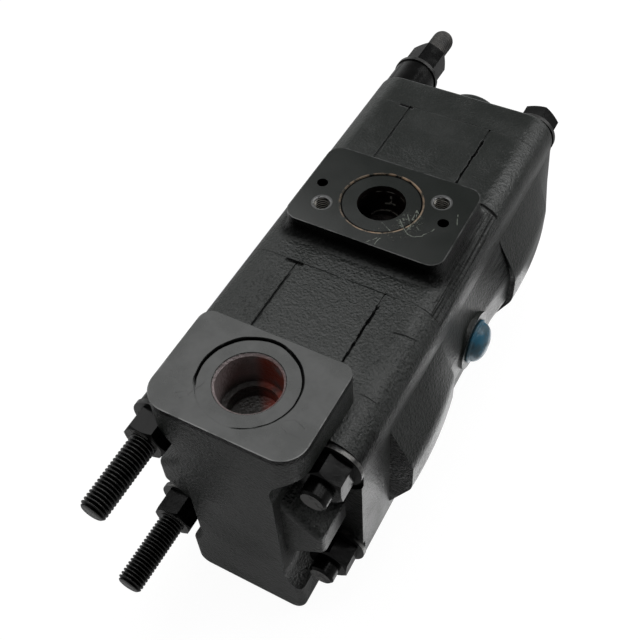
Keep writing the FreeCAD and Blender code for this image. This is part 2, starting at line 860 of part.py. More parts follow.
def arc(radius, first, last):
    """Arc in X and Z about the origin, from one angle to another."""
    middle = (first + last) / 2
    return Part.Arc(polar(radius, first), polar(radius, middle), polar(radius, last)).toShape()


def tooth_half_angles():
    """Half the tooth's angle at the base circle and the involute flank's radii and angles."""
    teeth = size("gear_teeth")
    pitch = size("gear_module") * teeth / 2
    base = pitch * math.cos(PRESSURE_ANGLE)
    tip = size("gear_tip_radius")
    working = math.acos(2 * base / size("gear_centres"))
    shift = teeth * (involute(working) - involute(PRESSURE_ANGLE)) / (2 * math.tan(PRESSURE_ANGLE))
    thickness = size("gear_module") * (math.pi / 2 + 2 * shift * math.tan(PRESSURE_ANGLE))
    at_base = (thickness - size("gear_thinning") / 2) / (2 * pitch) + involute(PRESSURE_ANGLE)
    shares = [(i / FLANK_STEPS) ** FLANK_CROWDING for i in range(FLANK_STEPS + 1)]
    radii = [base + (tip - base) * share for share in shares]
    return [(radius, at_base - involute(math.acos(base / radius))) for radius in radii]


def gear_outline(first_tooth):
    """Closed outline of the gear, with involute flanks and round root and tip lands."""
    teeth = int(size("gear_teeth"))
    root = size("gear_centres") - size("gear_tip_radius") - size("gear_root_clearance")
    flank = tooth_half_angles()
    base_half = flank[0][1]
    tip_half = flank[-1][1]
    pitch = 2 * math.pi / teeth
    edges = []
    for i in range(teeth):
        middle = first_tooth + i * pitch
        rising = Part.BSplineCurve()
        rising.interpolate([polar(radius, middle - half) for radius, half in flank])
        falling = Part.BSplineCurve()
        falling.interpolate([polar(radius, middle + half) for radius, half in reversed(flank)])
        edges.append(Part.makeLine(polar(root, middle - base_half), polar(flank[0][0], middle - base_half)))
        edges.append(rising.toShape())
        edges.append(arc(size("gear_tip_radius"), middle - tip_half, middle + tip_half))
        edges.append(falling.toShape())
        edges.append(Part.makeLine(polar(flank[0][0], middle + base_half), polar(root, middle + base_half)))
        edges.append(arc(root, middle + base_half, middle + pitch - base_half))
    return Part.Wire(edges)


def spline_outline(root, tip):
    """Closed outline of a straight-sided spline with narrowing teeth."""
    teeth = int(size("spline_teeth"))
    step = math.pi / teeth
    corners = []
    for i in range(teeth):
        middle = 2 * step * i
        corners.append(polar(root, middle - SPLINE_ROOT_SHARE * step))
        corners.append(polar(tip, middle - SPLINE_TIP_SHARE * step))
        corners.append(polar(tip, middle + SPLINE_TIP_SHARE * step))
        corners.append(polar(root, middle + SPLINE_ROOT_SHARE * step))
    return Part.makePolygon(corners + corners[:1])


def journal(start, length):
    """Bearing journal along Y, bevelled at both ends."""
    radius = size("journal_radius")
    chamfer = size("journal_chamfer")
    rod = Part.makeCylinder(radius, length, FreeCAD.Vector(0, start, 0), FreeCAD.Vector(0, 1, 0))
    rims = [edge for edge in rod.Edges if edge.isClosed()]
    return rod.makeChamfer(chamfer, rims)


def gear(name, joint, level, first_tooth, socket=None):
    """Gear with its two journals in one piece, its local origin on the section's near joint."""
    length = size("housing_length")
    reach = size("journal_length")
    start = size("plate_thickness") + size("gear_side_clearance")
    width = length - 2 * start
    blank = Part.Face(gear_outline(first_tooth)).extrude(FreeCAD.Vector(0, width, 0))
    blank.translate(FreeCAD.Vector(0, start, 0))
    solid = blank.fuse(journal(-reach, length + 2 * reach)).removeSplitter()
    if socket is not None:
        gap = size("spline_clearance")
        outline_wire = spline_outline(size("spline_root_radius") + gap, size("spline_tip_radius") + gap)
        hole = Part.Face(outline_wire).extrude(FreeCAD.Vector(0, size("socket_depth"), 0))
        near = -reach if socket == "near" else length + reach - size("socket_depth")
        hole.translate(FreeCAD.Vector(0, near, 0))
        solid = solid.cut(hole)
    feature = DOC.addObject("Part::Feature", name)
    feature.Label = name
    feature.Shape = solid
    place(feature, "0", joint, AXIS_Z + " + " + signed(level, "gear_centres / 2"))
    return finish(feature)


def coupling_shaft():
    """Splined shaft between the two upper gears, in the block's tunnel."""
    gap = size("block_length") - 2 * size("journal_length")
    length = gap + 2 * size("coupling_engagement")
    outline_wire = spline_outline(size("spline_root_radius"), size("spline_tip_radius"))
    solid = Part.Face(outline_wire).extrude(FreeCAD.Vector(0, length, 0))
    feature = DOC.addObject("Part::Feature", "coupling_shaft")
    feature.Label = "coupling_shaft"
    feature.Shape = solid
    place(feature, "0", BLOCK_Y + " + journal_length - coupling_engagement", AXIS_Z + " + gear_centres / 2")
    return finish(feature)


def bushes(name, y):
    """The two bearing bushes that sit in one casting's face, from y along the stack."""
    inner = "journal_radius + journal_clearance"
    outer = "journal_radius + journal_clearance + bush_wall - bush_rim_clearance"
    pieces = [ring("bush", inner, outer, "bush_length", "0", y, AXIS_Z + " + " + signed(level, "gear_centres / 2"))
              for level in SIDES]
    return group(name, pieces)


def thrust_plate(name, y):
    """Figure-eight plate between a gear pair and the casting beside it."""
    body = new_body(name, y)
    for level in SIDES:
        cylinder(body, "Additive", "lobe", ALONG_Y,
                 "gear_tip_radius + chamber_clearance - plate_rim_clearance", "plate_thickness",
                 "0", "0", signed(level, "gear_centres / 2"))
    for level in SIDES:
        bore(body, "shaft_hole", ALONG_Y, "journal_radius + plate_bore_clearance", "plate_thickness",
             "0", "0", signed(level, "gear_centres / 2"))
    return finish(body)


def section_seal(name, y):
    body = new_body(name, y)
    seal_ring(body, "Additive", "0")
    return finish(body)


def dowels(name, joint):
    """The two dowel pins of one joint, half in each casting."""
    pieces = []
    for side in SIDES:
        body = new_body("dowel", joint + " - dowel_length / 2",
                        AXIS_Z + " + " + signed(-side, "dowel_up"), signed(side, "dowel_across"))
        cylinder(body, "Additive", "pin", ALONG_Y, "dowel_radius", "dowel_length")
        pieces.append(body)
    return group(name, pieces)


def side_port_plug():
    """Plastic cap plug in the side port, turned about X."""
    body = new_body("side_port_plug", BLOCK_Y + " + side_port_place", AXIS_Z, "side_boss_reach")
    cap = "plug_flange_thickness + plug_cap_height"
    turned(body, "plug", [
        ("-plug_stem_length", "0"),
        ("-plug_stem_length", "side_thread_radius - plug_stem_clearance"),
        ("0", "side_thread_radius - plug_stem_clearance"),
        ("0", "plug_flange_radius"),
        ("plug_flange_thickness", "plug_flange_radius"),
        ("plug_flange_thickness", "plug_cap_radius"),
        (f"{cap} - plug_cap_chamfer", "plug_cap_radius"),
        (cap, "plug_cap_radius - plug_cap_chamfer"),
        (cap, "0"),
    ], "H_Axis")
    return finish(body)


def build():
    fill_sheet()
    near_end_cover()
    gear_housing("front_gear_housing", FRONT_Y)
    centre_port_block()
    gear_housing("rear_gear_housing", REAR_Y)
    far_end_cover()
    long_stud("upper_left_stud", 1)
    long_stud("lower_left_stud", -1)
    hexagon_bolt("upper_right_bolt", 1)
    hexagon_bolt("lower_right_bolt", -1)
    fastenings()
    down = -math.pi / 2
    space = math.pi / 2 + math.pi / size("gear_teeth")
    gear("front_drive_gear", FRONT_Y, 1, down, "far")
    gear("front_driven_gear", FRONT_Y, -1, space)
    gear("rear_drive_gear", REAR_Y, 1, down, "near")
    gear("rear_driven_gear", REAR_Y, -1, space)
    coupling_shaft()
    bushes("near_cover_bushes", FRONT_Y + " - bush_length")
    bushes("block_front_bushes", BLOCK_Y)
    bushes("block_rear_bushes", REAR_Y + " - bush_length")
    bushes("far_cover_bushes", FAR_Y)
    for name, joint in (("front", FRONT_Y), ("rear", REAR_Y)):
        thrust_plate(name + "_near_thrust_plate", joint)
        thrust_plate(name + "_far_thrust_plate", joint + " + housing_length - plate_thickness")
    for name, start in (("near_cover", FRONT_Y), ("block_front", BLOCK_Y + " - seal_depth"),
                        ("block_rear", REAR_Y), ("far_cover", FAR_Y + " - seal_depth")):
        section_seal(name + "_seal", start)
    for name, joint in (("near_cover", FRONT_Y), ("block_front", BLOCK_Y),
                        ("block_rear", REAR_Y), ("far_cover", FAR_Y)):
        dowels(name + "_dowels", joint)
    side_port_plug()
    DOC.recompute()


def check():
    """Stops when a feature failed or a piece has no sound shape."""
    for thing in DOC.Objects:
        faults = [state for state in thing.State if state in ("Invalid", "Error")]
        if faults:
            raise RuntimeError(f"{thing.Label} ({thing.Name}): {faults}")
    for piece in PARTS:
        if piece.Shape.isNull() or not piece.Shape.isValid():
            raise RuntimeError(f"{piece.Label} has no sound shape")


def write():
    os.makedirs("parts", exist_ok=True)
    for piece in PARTS:
        piece.Shape.exportStep(f"parts/{piece.Label}.step")
        print(f"{piece.Label}: {len(piece.Shape.Solids)} solid, {piece.Shape.Volume:.0f} cubic millimetres")


build()
check()
write()
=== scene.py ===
import json
import math

import bpy
from mathutils import Euler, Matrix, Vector

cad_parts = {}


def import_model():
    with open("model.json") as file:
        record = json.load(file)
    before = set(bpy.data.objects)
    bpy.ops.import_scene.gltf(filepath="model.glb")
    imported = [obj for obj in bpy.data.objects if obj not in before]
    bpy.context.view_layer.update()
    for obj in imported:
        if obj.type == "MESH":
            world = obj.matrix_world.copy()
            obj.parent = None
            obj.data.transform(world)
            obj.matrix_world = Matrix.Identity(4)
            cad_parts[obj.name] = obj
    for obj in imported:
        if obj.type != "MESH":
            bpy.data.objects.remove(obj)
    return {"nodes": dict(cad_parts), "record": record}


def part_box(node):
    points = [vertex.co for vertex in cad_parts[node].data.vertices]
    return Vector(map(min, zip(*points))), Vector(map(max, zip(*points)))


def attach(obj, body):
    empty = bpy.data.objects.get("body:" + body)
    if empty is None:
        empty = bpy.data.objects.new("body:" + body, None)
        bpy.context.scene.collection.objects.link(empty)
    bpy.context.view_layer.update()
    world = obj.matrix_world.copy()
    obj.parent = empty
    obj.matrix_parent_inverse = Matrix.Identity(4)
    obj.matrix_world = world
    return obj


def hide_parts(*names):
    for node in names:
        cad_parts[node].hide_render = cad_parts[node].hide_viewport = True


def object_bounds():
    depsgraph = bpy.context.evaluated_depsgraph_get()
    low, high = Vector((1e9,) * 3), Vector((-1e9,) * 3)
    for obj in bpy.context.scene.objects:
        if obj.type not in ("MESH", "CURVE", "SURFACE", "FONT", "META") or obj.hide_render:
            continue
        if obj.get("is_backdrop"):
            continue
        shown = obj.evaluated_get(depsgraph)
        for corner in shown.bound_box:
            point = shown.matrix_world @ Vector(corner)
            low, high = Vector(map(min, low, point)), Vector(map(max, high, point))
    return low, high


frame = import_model()
cad_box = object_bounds()
scene = bpy.context.scene
nodes = frame["nodes"]

MM = 0.001
LOW, HIGH = 0, 1
X, Y, Z = 0, 1, 2


def box_of(node):
    """Lowest and highest corner of a node, in millimetres."""
    return [[value / MM for value in corner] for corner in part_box(node)]


def mount(name):
    """Place of a mount in millimetres, and its sizes."""
    found = next(entry for entry in frame["record"]["mounts"] if entry["name"] == name)
    return [length / MM for length in found["pos_m"]], found["dims"]


# Where the camera stood, worked out from the photograph, in metres and degrees.
CAMERA_PLACE = (0.15595, -0.32106, 0.34962)
CAMERA_TURN = (38.5757, 2.7443, 28.3832)
LENS = 53.25
SENSOR = 36

# Places and sizes from the frame, in millimetres.
NEAR_FACE = box_of("near_end_cover")[LOW][Y]
NEAR_PAD_TOP = box_of("near_end_cover")[HIGH][Z]
INLET_PAD_TOP = box_of("centre_port_block")[HIGH][Z]
STACK_TOP = box_of("front_gear_housing")[HIGH][Z]
BEHIND_JOINTS = ("front_gear_housing", "centre_port_block", "rear_gear_housing", "far_end_cover")
JOINTS = [box_of(casting)[LOW][Y] for casting in BEHIND_JOINTS]
BLOCK_END = box_of("centre_port_block")[HIGH][Y]
STUD_END, STUD_SIZES = mount("near_stud_ends")
STUD_X, AXIS_Z = STUD_END[X], STUD_END[Z]
STUD_UP = STUD_SIZES["pcd_mm"] / 2
STUD_RADIUS = STUD_SIZES["stud_r_mm"]
NEAR_PORT, NEAR_PORT_SIZES = mount("front_outlet_port")
NEAR_PORT_X, NEAR_PORT_Y = NEAR_PORT[X], NEAR_PORT[Y]
NEAR_PORT_RADIUS = NEAR_PORT_SIZES["r_mm"]
BORE_RADIUS = mount("inlet_port")[1]["r_mm"]
HOLE_RADIUS = mount("inlet_flange_screws")[1]["hole_r_mm"]

# Outlines of both pads from above, as two corners and the radius of their rounding.
NEAR_PAD = ((-40, NEAR_FACE), (40, -100), 13)
INLET_PAD = ((-43.4, -29.9), (45.8, 29.9), 8)

# Other shapes of the castings, the plug's dome and the floor.
FOOT_REACH = 6.0
FOOT_LEAST = 1.2
FOOT_OVERLAP = 0.1
SHOULDER_X = 40.4
SHOULDER_RADIUS = 16.0
TRUNK_HALF_WIDTH = 25.3
RECESS_RADIUS = 21.8
FLANGE_HOLES = ((28.3, 13.4), (-28.3, -13.4))
DOME_HEIGHT = 6.2
DOME_RIM = 1.8
FLOOR_GAP = 0.2
FLOOR_HALF = 3000

# Threads of the studs and of the flange holes.
STUD_PITCH = 2.0
STUD_DEPTH = 1.15
STUD_BEVEL = 1.2
NEAR_THREAD_END = -150.0
FAR_THREAD_START = 136.0
PAINTED_SHARE = 0.3
NOSE_LENGTH = 5.0
NOSE_TIP = 3.4
HOLE_PITCH = 1.5
HOLE_RIDGE = 0.55
HOLE_THREAD = (-19.5, -1.0)
HOLE_CLEARANCE = 0.03
HOLE_MOUTH = 5.6

# Marks on the paint and in the inlet, and the height of a painted highlight in the inlet's bore.
SEAM_X = 25
SEAM_MIDDLES = (-76, 60)
SEAM_REACH = 23
DARK_RING_RADIUS = 24.2
RUBBED_SPOT = (19.5, -7.0)
BORE_LIP_HIGHLIGHT = -4.4
SCUFF_RADIUS = 12.7

# Ranges over which a finish, painted shade and painted highlights come in, in millimetres along the stack.
NEAR_PAD_BACK = (-90, -95)
NEAR_RIM_BACK = (-98, -103)
RECESS_FRONT = (-157, -151)
RECESS_BACK = (-112, -118)
INLET_PAD_SIDES = (32, 31)
FOOT_SHADE = (20, 0)
FINE_SAND = (0, 60)
FAINT_SEAM = (-20, 20)
FAR_PAINT = (60, 80)
BOLT_ENDS = (-153, -155)
STUD_ENDS = (-190, -195)
RUBBED_WASHERS = (-90, -110)

# The same in height.
RECESS_DOWN = (-8, -16)
PRIMER_DOWN = (7.0, 3.5)
PORT_BOTTOM = (-6.0, -15.0)
PAD_WALL = (-13.5, -10.5)
PAD_FOOT = (-2, -4)

# Directions from the inlet's axis, each with its half widths, in radians.
RUSTIEST = ((-0.8, 1.3, 0.6), (1.3, 0.6, 0.3))
MOST_CHIPPED = (-0.75, 0.7, 0.35)

# How finely the meshes are drawn.
RING = 48
ROWS_PER_TURN = 9
FOOT_ROWS = 8
CORNER_STEPS = 8
SIDE_STEPS = 16
DOME_ROWS = 14

# Marks, each a chain of (x, y) points in millimetres, seen from above.
NICKS = (
    ((-30.8, -47.3), (-22.1, -47.1)),
    ((-31.0, 89.6), (-23.6, 89.4)),
    ((40.3, 32.6), (46.0, 32.5), (52.5, 32.3)),
)
SCRATCH = (((39.4, -66.7), (49.8, -64.3)),)
NEAR_PAD_STROKES = (
    ((-27.5, -153.8), (-23, -154.6), (-20, -151.5), (-22.5, -149.6), (-27.5, -153.8)),
    ((-20.6, -150.8), (-19.6, -146.7), (-17.2, -138.0), (-15.0, -130.2)),
    ((23.1, -144.7), (28.0, -141.2), (34.5, -143.2), (34.4, -148.2), (28.4, -148.5), (24.1, -146.5)),
    ((11.7, -157.7), (14.9, -158.9)),
)
INLET_PAD_STROKES = (
    ((13.9, -6.8), (18.8, -12.3), (22.4, -15.3), (26.1, -15.0), (29.0, -12.8), (31.3, -9.4), (32.5, -5.8)),
    ((19.0, 2.9), (19.4, -4.1), (24.0, -1.9), (19.0, 2.9), (21.5, -3.0)),
    ((12.7, -16.1), (6.5, -12.7)),
    ((5.4, -28.9), (9.8, -22.9)),
    ((9.7, -28.3), (10.6, -23.3)),
    ((39.4, 8.7), (41.8, 1.9)),
    ((16.0, -2.0), (21.0, -9.0), (20.5, -12.5)),
)
# Scuffs in the bore, as (way round the wall, height) points.
BORE_SCUFFS = (
    ((20.4, -7.6), (20.7, -12.6)),
    ((18.2, -12.4), (23.4, -13.2)),
    ((14.0, -20.1), (17.5, -18.9), (21.0, -18.3), (24.6, -18.2), (28.5, -18.9), (31.0, -20.0)),
)

# Strengths of the room's sides and of the floor's glow.
WALLS = 0.9
CEILING = 0.11
FRONT = 0.38
RIGHT = 0.28
CAMERA_GLOW = 0.72
MIRROR_GLOW = 0.10
FLOOR_GLOW = 1.32


def grey(level, warmth=0.0):
    return (level * (1 + warmth), level, level * (1 - warmth), 1)


def greenish(level):
    return (level, level + 0.0022, level + 0.0006, 1)


BLACK = grey(0.0015)
RUST = ((0.40, 0.24, 0.15, 1), (0.42, 0.36, 0.27, 1))
BARE_IRON = ((0.16, 0.135, 0.135, 1), (0.27, 0.22, 0.22, 1))
CUT_IRON = ((0.30, 0.29, 0.26, 1), (0.52, 0.50, 0.46, 1))
PRIMER = (0.26, 0.05, 0.03, 1)
CHIPPED = (0.16, 0.15, 0.12, 1)
SCRATCHED = (0.17, 0.19, 0.16, 1)
# Near-black of the inlet's bore, painted shade with an oily tint, and the bright colour of its painted
# highlight lip and of its scuffs.
OILY_SHADE = (0.014, 0.006, 0.004, 1)
LIP_HIGHLIGHT_AND_SCUFF = (0.62, 0.60, 0.55, 1)
BRONZE = ((0.52, 0.33, 0.14, 1), (0.66, 0.46, 0.22, 1))
PLUG_BLUE = (0.026, 0.125, 0.20, 1)
SPRAYED_BLUE = (0.035, 0.085, 0.115, 1)


class Graph:
    """A node tree, put together with short calls."""

    def __init__(self, tree):
        self.tree = tree

    def add(self, kind, **settings):
        node = self.tree.nodes.new(kind)
        for key, value in settings.items():
            setattr(node, key, value)
        return node

    def put(self, socket, value):
        if isinstance(value, bpy.types.NodeSocket):
            self.tree.links.new(value, socket)
        else:
            socket.default_value = value

    def parts(self, vector):
        node = self.add("ShaderNodeSeparateXYZ")
        self.put(node.inputs[0], vector)
        return node.outputs[0], node.outputs[1], node.outputs[2]

    def math(self, operation, first, second=0.0, third=0.0):
        node = self.add("ShaderNodeMath", operation=operation)
        for socket, value in zip(node.inputs, (first, second, third)):
            self.put(socket, value)
        return node.outputs[0]

    def plus(self, first, second):
        return self.math("ADD", first, second)

    def less(self, first, second):
        return self.math("SUBTRACT", first, second)

    def times(self, first, *others):
        for other in others:
            first = self.math("MULTIPLY", first, other)
        return first

    def either(self, first, *others):
        """The largest of several numbers, which joins masks."""
        for other in others:
            first = self.math("MAXIMUM", first, other)
        return first

    def least(self, first, *others):
        for other in others:
            first = self.math("MINIMUM", first, other)
        return first

    def inverse(self, value):
        return self.less(1.0, value)

    def size(self, value):
        return self.math("ABSOLUTE", value)

    def apart(self, first, second):
        return self.size(self.less(first, second))

    def length(self, x, y):
        return self.math("SQRT", self.plus(self.times(x, x), self.times(y, y)))

    def ramp(self, value, low, high, start=0.0, end=1.0):
        """Smooth step of the value from start at low to end at high."""
        node = self.add("ShaderNodeMapRange", interpolation_type="SMOOTHSTEP")
        self.put(node.inputs["Value"], value)
        self.put(node.inputs["From Min"], low)
        self.put(node.inputs["From Max"], high)
        self.put(node.inputs["To Min"], start)
        self.put(node.inputs["To Max"], end)
        return node.outputs["Result"]

    def near(self, value, at, far, close):
        """Mask where the value is close to a level: 1 within the last number of it, 0 beyond far."""
        return self.ramp(self.apart(value, at), far, close)

    def blend(self, amount, first, second):
        """Number between two numbers."""
        return self.plus(self.times(self.inverse(amount), first), self.times(amount, second))

    def mix(self, amount, first, second):
        """Colour between two colours."""
        node = self.add("ShaderNodeMix", data_type="RGBA")
        self.put(node.inputs["Factor"], amount)
        self.put(node.inputs[6], first)
        self.put(node.inputs[7], second)
        return node.outputs[2]

    def mix_shaders(self, share, first, second):
        node = self.add("ShaderNodeMixShader")
        self.put(node.inputs["Fac"], share)
        self.put(node.inputs[1], first.outputs[0])
        self.put(node.inputs[2], second.outputs[0])
        return node.outputs[0]


class Paint(Graph):
    """A material's nodes, with each point's place in millimetres and the way its surface faces."""

    def __init__(self, name):
        self.material = bpy.data.materials.new(name)
        self.material.use_nodes = True
        super().__init__(self.material.node_tree)
        self.shader = self.tree.nodes["Principled BSDF"]
        point = self.add("ShaderNodeTexCoord").outputs
        self.place = self.stretched(point["Object"], (1 / MM, 1 / MM, 1 / MM))
        self.x, self.y, self.z = self.parts(self.place)
        self.nx, self.ny, self.nz = self.parts(point["Normal"])

    def stretched(self, vector, factors):
        node = self.add("ShaderNodeVectorMath", operation="MULTIPLY")
        self.put(node.inputs[0], vector)
        node.inputs[1].default_value = factors
        return node.outputs[0]

    def noise(self, cells, detail=2.0, roughness=0.5, vector=None, distortion=0.0):
        """Noise whose cells are so many millimetres across."""
        node = self.add("ShaderNodeTexNoise")
        self.put(node.inputs["Vector"], self.place if vector is None else vector)
        node.inputs["Scale"].default_value = 1 / cells
        node.inputs["Detail"].default_value = detail
        node.inputs["Roughness"].default_value = roughness
        node.inputs["Distortion"].default_value = distortion
        return node.outputs[0]

    def patches(self, cells, low, high, start=0.0, end=1.0, detail=3.0, roughness=0.5):
        """Noise turned into patches, from start below low to end above high."""
        return self.ramp(self.noise(cells, detail, roughness), low, high, start, end)

    def wander(self, cells, reach, detail=3.0):
        """Offset that drifts to and fro."""
        return self.times(self.less(self.noise(cells, detail), 0.5), reach)

    def cells(self, across, smooth=0.6):
        """Rounded cells, so many millimetres across, as the distance from their middles."""
        node = self.add("ShaderNodeTexVoronoi", feature="SMOOTH_F1")
        self.put(node.inputs["Vector"], self.place)
        node.inputs["Scale"].default_value = 1 / across
        node.inputs["Smoothness"].default_value = smooth
        return node.outputs["Distance"]

    def from_line(self, start, end, x, y):
        """Distance from the straight stroke between two (x, y) points."""
        ax, ay = start
        dx, dy = end[0] - ax, end[1] - ay
        px, py = self.less(x, ax), self.less(y, ay)
        along = self.times(self.plus(self.times(px, dx), self.times(py, dy)), 1 / (dx * dx + dy * dy))
        along = self.least(self.either(along, 0.0), 1.0)
        return self.length(self.less(px, self.times(along, dx)), self.less(py, self.times(along, dy)))

    def from_centre(self, x, y):
        return self.length(self.less(self.x, x), self.less(self.y, y))

    def from_outline(self, low, high, corner):
        """Distance outwards from a rounded rectangle between two (x, y) corners, seen from above."""
        outs = []
        for value, start, end in ((self.x, low[0], high[0]), (self.y, low[1], high[1])):
            middle, half = (start + end) / 2, (end - start) / 2
            outs.append(self.less(self.apart(value, middle), half - corner))
        round_part = self.length(*(self.either(out, 0.0) for out in outs))
        inner_part = self.least(self.either(*outs), 0.0)
        return self.less(self.plus(round_part, inner_part), corner)

    def bump(self, height, depth, below=None):
        """Bump of a 0 to 1 height, so many millimetres deep."""
        node = self.add("ShaderNodeBump")
        node.inputs["Distance"].default_value = depth * MM
        self.put(node.inputs["Height"], height)
        if below is not None:
            self.put(node.inputs["Normal"], below)
        return node.outputs[0]

    def layered(self, colour, layers):
        """Colour under its layers, and how metallic they make it.

        A layer is a mask, its colour, how much of the colour below it covers, and how metallic it is.
        """
        metal = 0.0
        for mask, paint, cover, bare in layers:
            colour = self.mix(self.times(mask, cover), colour, paint)
            if bare:
                metal = self.either(metal, self.times(mask, bare))
        return colour, metal

    def finish(self, colour, roughness, normal, metallic=0.0):
        self.put(self.shader.inputs["Base Color"], colour)
        self.put(self.shader.inputs["Roughness"], roughness)
        self.put(self.shader.inputs["Metallic"], metallic)
        self.put(self.shader.inputs["Normal"], normal)
        return self.material


# Paint of the castings

def casting_paint(name, marks):
    """Black paint on cast iron: sandy on cast faces, smooth on machined pads.

    The marks are one casting's own layers, some of them painted shade and highlights, and their height.
    """
    g = Paint(name)
    machined = machined_faces(g)
    cast = g.inverse(machined)
    shoulder = g.times(g.ramp(g.size(g.nx), 0.25, 0.6), g.ramp(g.size(g.nz), 0.2, 0.5))
    rougher = g.either(shoulder, g.patches(30, 0.45, 0.68, detail=2))
    smoother = g.ramp(g.y, *FINE_SAND, 1.0, 0.4)
    sand = g.plus(g.times(g.noise(1.15, 3, 0.7), 0.6), g.times(g.cells(1.6), 0.4))
    normal = g.bump(g.times(sand, g.blend(cast, 0.02, 1.0), g.blend(rougher, 0.9, 1.7), smoother), 0.55)
    normal = g.bump(g.times(g.noise(4.5), cast), 0.16, normal)
    normal = g.bump(g.times(g.noise(26, 2, 0.4), cast), 0.6, normal)
    pits = g.patches(1.1, 0.5, 0.38, detail=2, roughness=0.6)
    pits = g.times(pits, cast, g.blend(rougher, 0.15, 0.45), smoother)

    dusty = g.patches(45, 0.4, 0.75, detail=4, roughness=0.6)
    bare = g.times(g.patches(1.4, 0.66, 0.74, detail=4, roughness=0.7), cast)
    rough = g.blend(machined, g.blend(dusty, 0.28, 0.37), g.blend(g.noise(22, 3), 0.18, 0.26))
    joints = joint_lines(g)
    layers, height = marks(g, machined)
    colour, metal = g.layered(greenish(0.005), [
        (dusty, greenish(0.012), 1.0, 0.0),
        (bare, grey(0.06, 0.05), 0.3, 0.0),
        (g.either(joints, pits), BLACK, 1.0, 1.0),
        *layers,
    ])
    normal = g.bump(height, 0.35, g.bump(g.inverse(joints), 0.3, normal))
    return g.finish(colour, rough, normal, metal)


def machined_faces(g):
    """The faces of both ports' pads."""
    near = g.times(g.ramp(g.z, NEAR_PAD_TOP - 2, NEAR_PAD_TOP - 1), g.ramp(g.y, *NEAR_PAD_BACK))
    inlet = g.ramp(g.z, INLET_PAD_TOP - 3, INLET_PAD_TOP - 2)
    inlet = g.times(inlet, g.ramp(g.size(g.y), *INLET_PAD_SIDES))
    return g.times(g.ramp(g.nz, 0.985, 0.997), g.either(near, inlet))


def joint_lines(g):
    """Thin dark lines, here and there, where the castings of the stack meet."""
    wandering = g.plus(g.y, g.wander(9, 0.2))
    lines = g.either(*(g.near(wandering, joint, 0.30, 0.08) for joint in JOINTS))
    return g.times(lines, g.patches(14, 0.36, 0.54, 0.1, 0.8, detail=2))


def steps_of(chains):
    """The straight steps of several chains of points."""
    return [step for chain in chains for step in zip(chain, chain[1:])]


def strokes(g, chains, width, wobble):
    """Mask of strokes with a slight wobble."""
    off = g.wander(4, wobble, detail=2)
    x, y = g.plus(g.x, off), g.less(g.y, off)
    return g.either(*(g.ramp(g.from_line(*step, x, y), width, width * 0.3) for step in steps_of(chains)))


def edge_highlight(g, pad, top):
    """Thin broken line painted lighter along the upper edge of a pad: a painted highlight of its rounded
    edge.
    """
    line = g.times(g.near(g.from_outline(*pad), -0.15, 0.55, 0.2), g.ramp(g.z, top - 0.3, top - 0.1))
    return g.times(line, g.patches(12, 0.40, 0.58, 0.15, 1.0, detail=4, roughness=0.65))


def plain_marks(g, machined):
    return [], 0.0


def housing_marks(g, machined):
    """Broken dark lines along the housings' tops, and nicks and a scratch beside their joints."""
    wandering = g.plus(g.x, g.wander(7, 1.6))
    width = g.patches(4, 0.35, 0.7, 0.3, 1.0, roughness=0.6)
    beside = (g.less(g.apart(wandering, middle), width) for middle in (SEAM_X, -SEAM_X))
    right, left = (g.ramp(distance, 0.5, -0.1) for distance in beside)
    seams = g.either(right, g.times(left, g.ramp(g.y, *FAINT_SEAM, 0.75, 0.35)))
    on_top = g.times(g.ramp(g.nz, 0.7, 0.9), g.ramp(g.z, STACK_TOP - 2.3, STACK_TOP - 0.8))
    from_middle = g.least(*(g.apart(g.y, middle) for middle in SEAM_MIDDLES))
    seams = g.times(seams, on_top, g.ramp(from_middle, SEAM_REACH, SEAM_REACH - 3))
    nicks = g.times(strokes(g, NICKS, 1.4, 0.8), g.ramp(g.nz, 0.1, 0.5))
    scratch = g.times(strokes(g, SCRATCH, 0.5, 0.8), 0.7)
    dark = g.either(seams, nicks, scratch)
    return [(dark, BLACK, 1.0, 1.0)], g.inverse(dark)


def near_cover_marks_and_painted_light(g, machined):
    """Rubbed pad, lightened as painted light, with a dark ring, loops, a painted highlight along its edge,
    painted shade on its rim and in the recess beside the trunk, and the threaded port's bare inside,
    darker towards its bottom as painted shade.
    """
    from_port = g.from_centre(NEAR_PORT_X, NEAR_PORT_Y)
    # Rubbed paint on the near pad, lightened as painted light in place of a lamp.
    rubbed = g.mix(g.patches(24, 0.35, 0.65, detail=4, roughness=0.6), greenish(0.006), greenish(0.034))
    loops = g.times(strokes(g, NEAR_PAD_STROKES, 0.55, 1.2), g.patches(5, 0.3, 0.5), machined)
    ring = dark_ring(g, from_port, machined)
    inside = g.ramp(from_port, NEAR_PORT_RADIUS + 1.3, NEAR_PORT_RADIUS + 0.7)
    inside = g.times(inside, g.ramp(g.z, NEAR_PAD_TOP - 0.1, NEAR_PAD_TOP - 0.8))
    rim = rim_shade(g, from_port)
    layers = [
        (machined, rubbed, 1.0, 0.0),
        (loops, grey(0.02), 0.55, 0.0),
        # Dark ring, and painted shade on the near pad's rim.
        (g.either(ring, rim), BLACK, 1.0, 1.0),
        # Painted highlight along the near pad's upper edge.
        (edge_highlight(g, NEAR_PAD, NEAR_PAD_TOP), grey(0.16), 0.7, 0.3),
        # Painted shade on the rim and deep in the recess beside the trunk.
        (g.either(rim, recess_shade(g)), BLACK, 1.0, 1.0),
        (inside, port_iron(g), 1.0, 0.0),
    ]
    return layers, g.inverse(g.either(g.times(loops, 0.1), ring))


